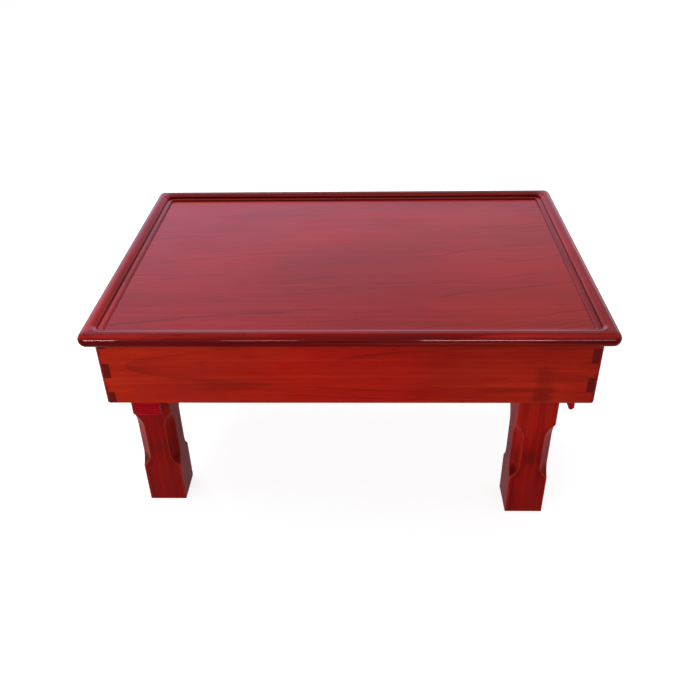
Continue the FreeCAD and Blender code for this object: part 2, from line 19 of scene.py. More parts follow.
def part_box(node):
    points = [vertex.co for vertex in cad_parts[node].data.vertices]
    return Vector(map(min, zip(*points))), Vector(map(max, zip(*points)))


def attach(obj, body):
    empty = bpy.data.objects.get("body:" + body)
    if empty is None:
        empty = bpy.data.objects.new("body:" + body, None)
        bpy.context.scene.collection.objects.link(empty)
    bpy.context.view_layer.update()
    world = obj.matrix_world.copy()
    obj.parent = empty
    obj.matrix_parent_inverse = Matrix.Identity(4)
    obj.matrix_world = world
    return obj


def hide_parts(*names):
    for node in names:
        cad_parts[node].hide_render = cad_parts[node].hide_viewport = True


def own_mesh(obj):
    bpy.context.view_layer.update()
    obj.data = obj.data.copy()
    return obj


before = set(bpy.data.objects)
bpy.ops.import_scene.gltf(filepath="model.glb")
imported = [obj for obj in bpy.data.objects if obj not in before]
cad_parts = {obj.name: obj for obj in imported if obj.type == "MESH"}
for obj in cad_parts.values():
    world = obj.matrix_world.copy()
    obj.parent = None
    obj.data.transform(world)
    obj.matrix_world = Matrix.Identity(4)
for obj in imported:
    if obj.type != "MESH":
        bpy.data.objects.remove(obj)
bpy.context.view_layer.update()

MM = 0.001
WELD = 0.002 * MM
FLAT_ANGLE = math.radians(0.2)
SHARP_ANGLE = math.radians(30)
FACE_WEIGHT = 80
LOG = logging.getLogger("low_table")

Socket = bpy.types.NodeSocket
Colour = tuple[float, float, float, float]
Point = tuple[float, float, float]
Span = tuple[float, float]
SocketValue = Union[Socket, float, Colour, Point]


class Grain(Enum):
    """Which way the fibres of a board run: the order of axes that puts the fibres' own axis first."""

    ALONG_X = (0, 1, 2)
    ALONG_Y = (1, 0, 2)
    ALONG_Z = (2, 0, 1)


class Corner(Enum):
    """The four corners of the table, with the way that the lever there pushes its spring."""

    FRONT_LEFT = ("front_left", (0.0, -1.0, 0.0))
    FRONT_RIGHT = ("front_right", (1.0, 0.0, 0.0))
    BACK_RIGHT = ("back_right", (0.0, 1.0, 0.0))
    BACK_LEFT = ("back_left", (-1.0, 0.0, 0.0))

    @property
    def label(self) -> str:
        """The corner's name, as the names of its pieces end."""
        return self.value[0]

    @property
    def push(self) -> Point:
        """The way that the lever's arm pushes its spring."""
        return self.value[1]


class Side(Enum):
    """The four sides of the table, with the way that the fibres of their boards run."""

    FRONT = ("front", Grain.ALONG_X)
    RIGHT = ("right", Grain.ALONG_Y)
    BACK = ("back", Grain.ALONG_X)
    LEFT = ("left", Grain.ALONG_Y)

    @property
    def label(self) -> str:
        """The side's name, as the names of its pieces end."""
        return self.value[0]

    @property
    def grain(self) -> Grain:
        """The way that the fibres of this side's boards run."""
        return self.value[1]


class LampRole(Enum):
    """What a lamp does: it lights the surfaces, it only shows as a line in their gloss, or it does both."""

    FILL = "fill"
    GLINT = "glint"
    BOTH = "both"


class SocketKind(Enum):
    """The kinds of value that a shared effect takes in or puts out."""

    NUMBER = "NodeSocketFloat"
    VECTOR = "NodeSocketVector"


def srgb(red: int, green: int, blue: int) -> Colour:
    """Turns a colour as a screen shows it into the linear colour that a shader takes.

    Args:
        red: The red part, from 0 to 255.
        green: The green part, from 0 to 255.
        blue: The blue part, from 0 to 255.

    Returns:
        The linear colour, opaque.
    """
    def linear(part: int) -> float:
        """One part of the colour, as light."""
        share = part / 255
        return share / 12.92 if share <= 0.04045 else ((share + 0.055) / 1.055) ** 2.4

    return linear(red), linear(green), linear(blue), 1.0


class Graph:
    """A node tree being filled: adds nodes, sets their values and joins them up."""

    MIX_FIRST, MIX_SECOND, MIX_RESULT = 6, 7, 2

    def __init__(self, tree: bpy.types.NodeTree) -> None:
        """Takes the tree to fill."""
        self.tree = tree

    def add(self, kind: str, inputs: Optional[dict[Union[str, int], SocketValue]] = None,
            **settings: object) -> bpy.types.Node:
        """Adds a node.

        Args:
            kind: The node's type.
            inputs: What its sockets take, a value or another node's output.
            settings: Its own options, by name.

        Returns:
            The new node.
        """
        node = self.tree.nodes.new(kind)
        for name, value in settings.items():
            setattr(node, name, value)
        for name, value in (inputs or {}).items():
            if isinstance(value, Socket):
                self.tree.links.new(value, node.inputs[name])
            else:
                node.inputs[name].default_value = value
        return node

    def math(self, operation: str, *values: SocketValue) -> Socket:
        """The result of a sum on up to three values."""
        return self.add("ShaderNodeMath", dict(enumerate(values)), operation=operation).outputs[0]

    def vector(self, operation: str, *values: SocketValue) -> bpy.types.NodeOutputs:
        """The results of a sum on vectors."""
        return self.add("ShaderNodeVectorMath", dict(enumerate(values)), operation=operation).outputs

    def step(self, value: SocketValue, low: SocketValue, high: SocketValue) -> Socket:
        """A smooth rise from 0 at low to 1 at high; where high is under low it falls instead."""
        ends = {"Value": value, "From Min": low, "From Max": high}
        return self.add("ShaderNodeMapRange", ends, interpolation_type="SMOOTHSTEP").outputs[0]

    def span(self, share: SocketValue, low: SocketValue, high: SocketValue) -> Socket:
        """The value that lies a share of the way between two others."""
        return self.add("ShaderNodeMapRange", {"Value": share, "To Min": low, "To Max": high}).outputs[0]

    def noise(self, place: SocketValue, cycles: Point, detail: float = 2.0) -> Socket:
        """Cloudy noise from 0 to 1, with its own number of cycles per metre along each axis."""
        scaled = self.vector("MULTIPLY", place, cycles)[0]
        return self.add("ShaderNodeTexNoise", {"Vector": scaled, "Scale": 1.0, "Detail": detail}).outputs[0]

    def wobble(self, place: SocketValue, cycles: Point, detail: float = 2.0) -> Socket:
        """Cloudy noise about 0, from -0.5 to 0.5."""
        return self.math("SUBTRACT", self.noise(place, cycles, detail), 0.5)

    def mix(self, share: SocketValue, first: SocketValue, second: SocketValue) -> Socket:
        """A blend of two colours."""
        inputs = {0: share, self.MIX_FIRST: first, self.MIX_SECOND: second}
        return self.add("ShaderNodeMix", inputs, data_type="RGBA").outputs[self.MIX_RESULT]

    def tint(self, colour: SocketValue, mask: Socket, share: float, other: Colour) -> Socket:
        """A colour taken towards another by a share of a mask."""
        return self.mix(self.math("MULTIPLY", mask, share), colour, other)

    def parts(self, vector: SocketValue) -> bpy.types.NodeOutputs:
        """The three parts of a vector."""
        return self.add("ShaderNodeSeparateXYZ", {0: vector}).outputs

    def turned(self, vector: SocketValue, grain: Grain) -> Socket:
        """A vector whose first part runs along the fibres."""
        parts = self.parts(vector)
        order = {place: parts[axis] for place, axis in enumerate(grain.value)}
        return self.add("ShaderNodeCombineXYZ", order).outputs[0]

    def effect(self, tree: bpy.types.NodeTree, inputs: dict[str, SocketValue]) -> bpy.types.NodeOutputs:
        """Places a shared effect and returns its outputs.

        Args:
            tree: The effect's node group.
            inputs: What its named inputs take.

        Returns:
            The effect's named outputs.
        """
        return self.add("ShaderNodeGroup", inputs, node_tree=tree).outputs


class EffectGraph(Graph):
    """The node group of an effect that several finishes share, with named inputs and outputs."""

    def __init__(self, name: str, inputs: dict[str, SocketKind], outputs: tuple[str, ...]) -> None:
        """Makes the group and its sockets.

        Args:
            name: The effect's name.
            inputs: The kind of each named input.
            outputs: The names of its outputs, each a number that changes over the surface.
        """
        super().__init__(bpy.data.node_groups.new(name, "ShaderNodeTree"))
        sockets = self.tree.interface
        for label, kind in inputs.items():
            sockets.new_socket(name=label, in_out="INPUT", socket_type=kind.value)
        for label in outputs:
            sockets.new_socket(name=label, in_out="OUTPUT", socket_type=SocketKind.NUMBER.value)
        self.given = self.add("NodeGroupInput").outputs
        self.results = self.add("NodeGroupOutput").inputs

    def put(self, label: str, value: Socket) -> None:
        """Joins a value to a named output."""
        self.tree.links.new(value, self.results[label])


@dataclass(frozen=True)
class WoodFigure:
    """Growth rings about a pith line, with fibres, streaks, pores and a slow change of tone.

    The noises have their cycles per metre along the fibres and across them, the unevenness of the rings per
    ring. Each mask has the value where it starts to show and the one where it is full.
    """

    sway_cycles: Point = (2.4, 6.0, 6.0)
    ripple_cycles: Point = (15.0, 30.0, 30.0)
    ripple_share: float = 0.2
    uneven_cycles: Point = (0.45, 1.0, 1.0)
    unevenness: float = 1.6
    late_start: Span = (0.5, 0.93)
    late_end: Span = (1.0, 0.94)
    year_mask: Span = (0.2, 0.9)
    year_strength: Span = (0.15, 1.0)
    patch_cycles: Point = (5.0, 24.0, 24.0)
    patch_mask: Span = (0.36, 0.6)
    mottle_cycles: Point = (6.0, 16.0, 16.0)
    mottle_mask: Span = (0.25, 0.75)
    fibre_cycles: Point = (8.0, 150.0, 150.0)
    fibre_mask: Span = (0.35, 0.7)
    streak_cycles: Point = (1.8, 170.0, 170.0)
    streak_mask: Span = (0.52, 0.7)
    pore_cycles: Point = (55.0, 1500.0, 1500.0)
    pore_mask: Span = (0.62, 0.7)
    pore_season: Span = (0.6, 0.2)

    def build(self) -> bpy.types.NodeTree:
        """Builds the group.

        Returns:
            The group, with the masks of the late wood, fibres, streaks, pores, tone and end grain.
        """
        inputs = {name: SocketKind.VECTOR for name in ("Position", "Normal", "Pith")}
        numbers = ("Lean", "Ring Spacing", "Wander", "End From", "End Full")
        inputs |= {name: SocketKind.NUMBER for name in numbers}
        outputs = ("Late Wood", "Fibre", "Streak", "Pores", "Tone", "End Grain")
        group = EffectGraph("wood_figure", inputs, outputs)
        given = group.given
        place = group.vector("SUBTRACT", given["Position"], given["Pith"])[0]
        along, across, depth = group.parts(place)
        sway = group.wobble(place, self.sway_cycles)
        ripple = group.wobble(place, self.ripple_cycles, detail=3.0)
        stray = group.math("MULTIPLY_ADD", ripple, self.ripple_share, sway)
        leaning = group.math("MULTIPLY_ADD", along, given["Lean"], across)
        sideways = group.math("MULTIPLY_ADD", stray, given["Wander"], leaning)
        radius = group.math("SQRT", group.math(
            "MULTIPLY_ADD", sideways, sideways, group.math("MULTIPLY", depth, depth)))
        rings = group.math("DIVIDE", radius, given["Ring Spacing"])
        line = group.add("ShaderNodeCombineXYZ", {0: rings}).outputs[0]
        uneven = group.noise(line, self.uneven_cycles)
        count = group.math("MULTIPLY_ADD", uneven, self.unevenness, rings)
        phase = group.math("FRACT", count)
        late = group.math(
            "MULTIPLY", group.step(phase, *self.late_start), group.step(phase, *self.late_end))
        year = group.add("ShaderNodeTexWhiteNoise", {"W": group.math("FLOOR", count)}, noise_dimensions="1D")
        strength = group.span(group.step(year.outputs["Value"], *self.year_mask), *self.year_strength)
        broken = group.step(group.noise(place, self.patch_cycles, detail=3.0), *self.patch_mask)
        group.put("Late Wood", group.math("MULTIPLY", group.math("MULTIPLY", late, strength), broken))
        group.put("Fibre", group.step(group.noise(place, self.fibre_cycles, detail=5.0), *self.fibre_mask))
        streaks = group.noise(place, self.streak_cycles, detail=3.0)
        group.put("Streak", group.step(streaks, *self.streak_mask))
        pores = group.step(group.noise(place, self.pore_cycles, detail=1.0), *self.pore_mask)
        group.put("Pores", group.math("MULTIPLY", pores, group.step(phase, *self.pore_season)))
        group.put("Tone", group.step(group.noise(place, self.mottle_cycles, detail=3.0), *self.mottle_mask))
        facing = group.math("ABSOLUTE", group.parts(given["Normal"])[0])
        group.put("End Grain", group.step(facing, given["End From"], given["End Full"]))
        return group.tree


@dataclass(frozen=True)
class EdgeWearAndHighlight:
    """Finds a piece's arrises by how near its other faces are: rubbed lacquer and a painted highlight there.
    """

    samples: int = 8
    wide_band_reach: float = 5.0
    patch_cycles: Point = (45.0, 45.0, 45.0)
    patch_strength: Span = (0.3, 1.0)
    edge_mask: Span = (0.97, 0.8)
    wide_band_mask: Span = (1.0, 0.55)

    def build(self) -> bpy.types.NodeTree:
        """Builds the group.

        Returns:
            The group, with masks of the thin line of each arris and of the wider band beside it.
        """
        inputs = {"Position": SocketKind.VECTOR, "Reach": SocketKind.NUMBER}
        group = EffectGraph("edge_wear_and_highlight", inputs, ("Edge", "Wide Band"))
        near = self.solid_share(group, group.given["Reach"])
        far = self.solid_share(group, group.math("MULTIPLY", group.given["Reach"], self.wide_band_reach))
        patches = group.span(
            group.noise(group.given["Position"], self.patch_cycles), *self.patch_strength)
        group.put("Edge", group.math("MULTIPLY", group.step(near, *self.edge_mask), patches))
        group.put("Wide Band", group.math("MULTIPLY", group.step(far, *self.wide_band_mask), patches))
        return group.tree

    def solid_share(self, group: EffectGraph, reach: Socket) -> Socket:
        """The share of directions into the piece that stay inside it for a given reach."""
        node = group.add("ShaderNodeAmbientOcclusion", {"Distance": reach}, samples=self.samples, inside=True,
                         only_local=True)
        return node.outputs["AO"]


@dataclass(frozen=True)
class CreviceShade:
    """Finds the inner corners of a piece and its joints, to darken them with painted shade."""

    samples: int = 8
    crevice_shade_mask: Span = (0.85, 0.35)

    def build(self) -> bpy.types.NodeTree:
        """Builds the group.

        Returns:
            The group, with a mask of the inner corners.
        """
        group = EffectGraph("crevice_shade", {"Reach": SocketKind.NUMBER}, ("Painted Shade",))
        open_share = group.add("ShaderNodeAmbientOcclusion", {"Distance": group.given["Reach"]},
                               samples=self.samples).outputs["AO"]
        group.put("Painted Shade", group.step(open_share, *self.crevice_shade_mask))
        return group.tree


@dataclass(frozen=True)
class StainAndPaintedLightMask:
    """The mask of a soft-edged patch of another tone, frayed along the fibres."""

    fray_cycles: Point = (14.0, 130.0, 130.0)
    fray: float = 1.5
    fade: Span = (1.2, 0.3)

    def build(self) -> bpy.types.NodeTree:
        """Builds the group.

        Returns:
            The group, with the mask of one patch.
        """
        inputs = {name: SocketKind.VECTOR for name in ("Position", "Centre", "Reach")}
        group = EffectGraph("stain_and_painted_light_mask", inputs, ("StainAndPaintedLight",))
        given = group.given
        offset = group.vector("SUBTRACT", given["Position"], given["Centre"])[0]
        distance = group.vector("LENGTH", group.vector("DIVIDE", offset, given["Reach"])[0])["Value"]
        fray = group.wobble(given["Position"], self.fray_cycles, detail=4.0)
        frayed = group.math("MULTIPLY_ADD", fray, self.fray, distance)
        group.put("StainAndPaintedLight", group.step(frayed, *self.fade))
        return group.tree


@dataclass(frozen=True)
class Handling:
    """The faint smears and hairlines that use leaves in a gloss."""

    smear_cycles: Point = (14.0, 14.0, 14.0)
    smear_mask: Span = (0.35, 0.75)
    hairline_cycles: Point = (260.0, 30.0, 260.0)
    hairline_mask: Span = (0.62, 0.72)

    def build(self) -> bpy.types.NodeTree:
        """Builds the group.

        Returns:
            The group, with masks of the smears and of the hairlines.
        """
        group = EffectGraph("handling", {"Position": SocketKind.VECTOR}, ("Smear", "Hairline"))
        place = group.given["Position"]
        group.put("Smear", group.step(group.noise(place, self.smear_cycles, detail=4.0), *self.smear_mask))
        group.put("Hairline", group.step(group.noise(place, self.hairline_cycles), *self.hairline_mask))
        return group.tree


@dataclass(frozen=True)
class Effects:
    """The shader groups that the finishes share."""

    wood_figure: bpy.types.NodeTree
    edge_wear_and_highlight: bpy.types.NodeTree
    crevice_shade: bpy.types.NodeTree
    stain_and_painted_light_mask: bpy.types.NodeTree
    handling: bpy.types.NodeTree

    @classmethod
    def build(cls) -> "Effects":
        """Builds each group once."""
        makers = (WoodFigure(), EdgeWearAndHighlight(), CreviceShade(), StainAndPaintedLightMask(), Handling())
        return cls(*(maker.build() for maker in makers))


class MaterialGraph(Graph):
    """A material being made: its principled shader, and positions and normals that ride with the piece."""

    def __init__(self, name: str, constants: dict[str, float]) -> None:
        """Makes the material.

        Args:
            name: The material's name.
            constants: What the shader's sockets take that is the same all over the surface.
        """
        self.material = bpy.data.materials.new(name)
        self.material.use_nodes = True
        super().__init__(self.material.node_tree)
        self.shader = self.tree.nodes["Principled BSDF"]
        for socket, value in constants.items():
            self.shader.inputs[socket].default_value = value
        coordinates = self.add("ShaderNodeTexCoord").outputs
        self.position = coordinates["Object"]
        self.normal = coordinates["Normal"]

    def shade(self, **sockets: Socket) -> bpy.types.Material:
        """Joins what changes over the surface to the shader, and returns the material."""
        for name, value in sockets.items():
            self.tree.links.new(value, self.shader.inputs[name.replace("_", " ")])
        return self.material

    def bump(self, height: Socket, depth: float) -> Socket:
        """A normal pressed in by a height from 0 to 1, of a real depth in metres."""
        inputs = {"Height": height, "Distance": depth, "Strength": 1.0}
        return self.add("ShaderNodeBump", inputs).outputs[0]


@dataclass(frozen=True)
class StainAndPaintedLight:
    """A patch of another tone in a board, with its middle and reach in metres, the fibres' axis first.

    A patch with an axis repeats on all sides of it, and its middle is then measured from there. Some patches
    are real stains; others are painted light and shade.
    """

    centre: Point
    reach: Point
    colour: Colour
    share: float
    axis: Optional[Point] = None

    def lay(self, graph: Graph, colour: Socket, position: Socket, effects: Effects) -> Socket:
        """Lays the patch over a board.

        Args:
            graph: The board's material.
            colour: The board's colour so far.
            position: The place on the board, with the fibres' axis first.
            effects: The shared effects.

        Returns:
            The colour with the patch in it.
        """
        if self.axis is not None:
            position = graph.vector("ABSOLUTE", graph.vector("SUBTRACT", position, self.axis)[0])[0]
        mask = graph.effect(effects.stain_and_painted_light_mask, {
            "Position": position, "Centre": self.centre, "Reach": self.reach})["StainAndPaintedLight"]
        return graph.tint(colour, mask, self.share, self.colour)


@dataclass(frozen=True)
class Lacquer:
    """Red lacquer over timber, through which the grain still shows.

    Lengths are in metres. The shares say how strongly the lines, fibres, streaks and arrises show. A lacquer
    with no worn and lit edge tone gets neither rubbed arrises nor a painted highlight on them.
    """

    bright: Colour
    deep: Colour
    line: Colour
    streak: Colour
    end: Colour
    ring_spacing: float
    wander: float
    lean: float
    line_share: float
    fibre_share: float
    streak_share: float
    roughness: float
    coat_roughness: float
    coat: float = 1.0
    coat_index: float = 1.25
    specular: float = 0.05
    end_from: float = 0.6
    end_full: float = 0.9
    worn_and_lit_edge: Optional[Colour] = None
    edge_share: float = 0.9
    wide_band_share: float = 0.2
    edge_reach: float = 1.0 * MM
    crevice_shade_share: float = 0.7
    crevice_shade_reach: float = 3.0 * MM
    smear_roughness: float = 0.12
    grain_depth: float = 0.03 * MM
    pore_hollow: float = 0.6
    line_hollow: float = 0.4

    def material(self, name: str, grain: Grain, pith: Point, effects: Effects,
                 stains_and_painted_light: tuple[StainAndPaintedLight, ...] = ()) -> bpy.types.Material:
        """Makes the finish of one board.

        Args:
            name: The material's name.
            grain: The way that the board's fibres run.
            pith: A point of the tree's middle line: along the fibres, then across them.
            effects: The shared effects.
            stains_and_painted_light: The board's patches of another tone: its stains, and painted light and
                shade.

        Returns:
            The material.
        """
        graph = MaterialGraph(name, {
            "Coat Weight": self.coat, "Coat Roughness": self.coat_roughness, "Coat IOR": self.coat_index,
            "Specular IOR Level": self.specular})
        position = graph.turned(graph.position, grain)
        figure = graph.effect(effects.wood_figure, {
            "Position": position, "Normal": graph.turned(graph.normal, grain), "Pith": pith,
            "Lean": self.lean, "Ring Spacing": self.ring_spacing, "Wander": self.wander,
            "End From": self.end_from, "End Full": self.end_full})
        colour = graph.mix(figure["Tone"], self.bright, self.deep)
        for tone_patch in stains_and_painted_light:
            colour = tone_patch.lay(graph, colour, position, effects)
        colour = graph.tint(colour, figure["Fibre"], self.fibre_share, self.deep)
        colour = graph.tint(colour, figure["Streak"], self.streak_share, self.streak)
        colour = graph.tint(colour, figure["Late Wood"], self.line_share, self.line)
        colour = graph.tint(colour, figure["Pores"], self.fibre_share, self.line)
        colour = graph.mix(figure["End Grain"], colour, self.end)
        # Arrises lightened: lacquer rubbed thin there, and a painted highlight where they catch the light.
        if self.worn_and_lit_edge is not None:
            worn_and_lit_edges = graph.effect(effects.edge_wear_and_highlight, {"Position": position, "Reach": self.edge_reach})
            colour = graph.tint(colour, worn_and_lit_edges["Wide Band"], self.wide_band_share, self.worn_and_lit_edge)
            colour = graph.tint(colour, worn_and_lit_edges["Edge"], self.edge_share, self.worn_and_lit_edge)
        # Painted shade: inner corners and joints darkened towards the line colour.
        shade_in_crevices = graph.effect(effects.crevice_shade, {"Reach": self.crevice_shade_reach})["Painted Shade"]
        colour = graph.tint(colour, shade_in_crevices, self.crevice_shade_share, self.line)
        smear = graph.effect(effects.handling, {"Position": position})["Smear"]
        roughness = graph.span(smear, self.roughness, self.roughness + self.smear_roughness)
        pores = graph.math("MULTIPLY", figure["Pores"], self.pore_hollow)
        hollow = graph.math("MULTIPLY_ADD", figure["Late Wood"], self.line_hollow, pores)
        relief = graph.math("SUBTRACT", 1.0, hollow)
        return graph.shade(
            Base_Color=colour, Roughness=roughness, Normal=graph.bump(relief, self.grain_depth))


@dataclass(frozen=True)
class PlainTimber:
    """Unfinished pale timber, as in dowels and splines."""

    pale: Colour
    dark: Colour
    ring_spacing: float = 2.2 * MM
    wander: float = 4 * MM
    line_share: float = 0.6
    fibre_share: float = 0.3
    roughness: Span = (0.55, 0.75)
    specular: float = 0.3
    fibre_depth: float = 0.04 * MM

    def material(self, name: str, grain: Grain, effects: Effects) -> bpy.types.Material:
        """Makes the finish.

        Args:
            name: The material's name.
            grain: The way that the fibres run.
            effects: The shared effects.

        Returns:
            The material.
        """
        graph = MaterialGraph(name, {"Specular IOR Level": self.specular})
        figure = graph.effect(effects.wood_figure, {
            "Position": graph.turned(graph.position, grain), "Normal": graph.turned(graph.normal, grain),
            "Ring Spacing": self.ring_spacing, "Wander": self.wander})
        fibres = graph.math("MULTIPLY", figure["Fibre"], self.fibre_share)
        lines = graph.math("MULTIPLY_ADD", figure["Late Wood"], self.line_share, fibres)
        return graph.shade(
            Base_Color=graph.mix(lines, self.pale, self.dark),
            Roughness=graph.span(figure["Fibre"], *self.roughness),
            Normal=graph.bump(figure["Fibre"], self.fibre_depth))


@dataclass(frozen=True)
class PlatedSteel:
    """Pressed steel under a thin bright plating, drawn one way; its edges rubbed and given a painted
    highlight.
    """

    bright: Colour
    dull: Colour
    roughness: float
    metal_share: float = 0.85
    draw_cycles: Point = (900.0, 900.0, 25.0)
    draw_depth: float = 0.006 * MM
    bloom: Span = (0.4, 1.0)
    bloom_roughness: float = 0.18
    hairline_roughness: float = 0.06
    edge_reach: float = 0.5 * MM
    edge_share: float = 0.8

    def material(self, name: str, effects: Effects) -> bpy.types.Material:
        """Makes the finish.

        Args:
            name: The material's name.
            effects: The shared effects.

        Returns:
            The material.
        """
        graph = MaterialGraph(name, {"Metallic": self.metal_share})
        marks = graph.effect(effects.handling, {"Position": graph.position})
        worn_and_lit_edges = graph.effect(effects.edge_wear_and_highlight, {"Position": graph.position, "Reach": self.edge_reach})
        drawn = graph.noise(graph.position, self.draw_cycles, detail=3.0)
        bloom = graph.math("MULTIPLY", marks["Smear"], graph.span(drawn, *self.bloom))
        # Edges brightened: plating rubbed there, and a painted highlight.
        colour = graph.tint(
            graph.mix(bloom, self.bright, self.dull), worn_and_lit_edges["Edge"], self.edge_share, self.bright)
        smooth = graph.span(bloom, self.roughness, self.roughness + self.bloom_roughness)
        roughness = graph.math("MULTIPLY_ADD", marks["Hairline"], self.hairline_roughness, smooth)
        return graph.shade(
            Base_Color=colour, Roughness=roughness, Normal=graph.bump(drawn, self.draw_depth))


@dataclass(frozen=True)
class MouldedPlastic:
    """Glossy through-coloured plastic with the faint texture of its mould."""

    bright: Colour
    deep: Colour
    worn_and_lit_edge: Colour
    roughness: float
    smear_roughness: float = 0.15
    specular: float = 0.15
    flow_cycles: Point = (40.0, 40.0, 12.0)
    skin_cycles: Point = (1400.0, 1400.0, 1400.0)
    skin_depth: float = 0.01 * MM
    edge_reach: float = 0.6 * MM
    edge_share: float = 0.5

    def material(self, name: str, effects: Effects) -> bpy.types.Material:
        """Makes the finish.

        Args:
            name: The material's name.
            effects: The shared effects.

        Returns:
            The material.
        """
        graph = MaterialGraph(name, {"Specular IOR Level": self.specular})
        smear = graph.effect(effects.handling, {"Position": graph.position})["Smear"]
        worn_and_lit_edges = graph.effect(effects.edge_wear_and_highlight, {"Position": graph.position, "Reach": self.edge_reach})
        skin = graph.noise(graph.position, self.skin_cycles)
        flow = graph.noise(graph.position, self.flow_cycles)
        # Arrises and ribs lightened: a painted highlight, and rubbing.
        colour = graph.tint(graph.mix(flow, self.bright, self.deep), worn_and_lit_edges["Edge"], self.edge_share, self.worn_and_lit_edge)
        roughness = graph.span(smear, self.roughness, self.roughness + self.smear_roughness)
        return graph.shade(
            Base_Color=colour, Roughness=roughness, Normal=graph.bump(skin, self.skin_depth))


PANEL_LACQUER = Lacquer(
    bright=srgb(136, 12, 10), deep=srgb(120, 8, 10), line=srgb(60, 5, 9), streak=srgb(150, 24, 18),
    end=srgb(70, 12, 12), ring_spacing=8.5 * MM, wander=60 * MM, lean=-0.2,
    line_share=0.6, fibre_share=0.5, streak_share=0.3, roughness=0.3, coat_roughness=0.1)
# The rim gets a stronger and wider painted shade in its crevices.
RIM_LACQUER = Lacquer(
    bright=srgb(122, 5, 3), deep=srgb(94, 3, 3), line=srgb(44, 2, 2), streak=srgb(160, 40, 24),
    end=srgb(64, 8, 8), ring_spacing=5 * MM, wander=6 * MM, lean=0.02,
    line_share=0.35, fibre_share=0.5, streak_share=0.6, roughness=0.28, coat_roughness=0.04,
    crevice_shade_share=0.85, crevice_shade_reach=6 * MM)
APRON_LACQUER = Lacquer(
    bright=srgb(200, 42, 14), deep=srgb(164, 25, 12), line=srgb(100, 10, 9), streak=srgb(214, 62, 22),
    end=srgb(110, 21, 19), ring_spacing=4 * MM, wander=8 * MM, lean=0.03,
    line_share=0.4, fibre_share=0.5, streak_share=0.18, roughness=0.36, coat_roughness=0.18,
    end_from=0.97, end_full=0.998)
# The legs' arrises get the worn and lit edge tone: rubbed lacquer and a painted highlight.
LEG_LACQUER = Lacquer(
    bright=srgb(174, 21, 12), deep=srgb(126, 10, 9), line=srgb(84, 7, 8), streak=srgb(190, 42, 18),
    end=srgb(80, 13, 12), worn_and_lit_edge=srgb(222, 78, 38), ring_spacing=6 * MM, wander=7 * MM, lean=0.02,
    line_share=0.4, fibre_share=0.6, streak_share=0.2, roughness=0.34, coat_roughness=0.12)
PALE_TIMBER = PlainTimber(pale=srgb(214, 178, 132), dark=srgb(172, 128, 82))
BRIGHT_PLATING = PlatedSteel(bright=srgb(214, 214, 210), dull=srgb(160, 162, 164), roughness=0.26)
BLUED_STEEL = PlatedSteel(bright=srgb(120, 128, 142), dull=srgb(62, 68, 80), roughness=0.3)
# The lever's arrises and ribs get a painted highlight in the worn and lit edge tone.
CRIMSON_PLASTIC = MouldedPlastic(
    bright=srgb(190, 4, 24), deep=srgb(160, 2, 18), worn_and_lit_edge=srgb(214, 40, 56), roughness=0.25)


def middle_of(node: str) -> Vector:
    """The middle of a solid's box."""
    low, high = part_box(node)
    return (low + high) / 2


def dress(name: str, material: bpy.types.Material) -> None:
    """Gives a solid of the frame, or the piece that stands for one, its finish.

    Args:
        name: The node's or the piece's name.
        material: Its new material.
    """
    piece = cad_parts.get(name) or bpy.data.objects[name]
    for slot in piece.material_slots:
        slot.link = "OBJECT"
        slot.material = material
    LOG.info("%s dressed in %s", name, material.name)


def stand_in(name: str, node: str, body: str) -> bpy.types.Object:
    """Makes a piece with the shape of a solid, to be worked further and shown instead of it.

    Args:
        name: The piece's name.
        node: The solid's name.
        body: The body that both move with.

    Returns:
        The piece.
    """
    piece = bpy.data.objects.new(name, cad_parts[node].data.copy())
    bpy.context.scene.collection.objects.link(piece)
    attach(piece, body)
    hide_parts(node)
    return piece


def ease_arrises(name: str, width: float, segments: int = 3) -> None:
    """Rounds the sharp arrises of a solid over, as far as the bevel's clamp lets it.

    The clamp sets one width for the whole solid. On these solids it holds the round far below the width
    asked: under a tenth of a millimetre on all but the left apron board, and under a fiftieth on the legs.

    Args:
        name: The node's name.
        width: How far the round may run to each side of the arris, in metres.
        segments: The number of strips that make the round.
    """
    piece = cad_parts[name]
    weld = piece.modifiers.new("weld", "WELD")
    weld.merge_threshold = WELD
    flat = piece.modifiers.new("flat", "DECIMATE")
    flat.decimate_type = "DISSOLVE"
    flat.angle_limit = FLAT_ANGLE
    bevel = piece.modifiers.new("ease", "BEVEL")
    bevel.width = width
    bevel.segments = segments
    bevel.limit_method = "ANGLE"
    bevel.angle_limit = SHARP_ANGLE
    bevel.use_clamp_overlap = True
    bevel.miter_outer = "MITER_ARC"
    shading = piece.modifiers.new("shading", "WEIGHTED_NORMAL")
    shading.keep_sharp = False
    shading.weight = FACE_WEIGHT


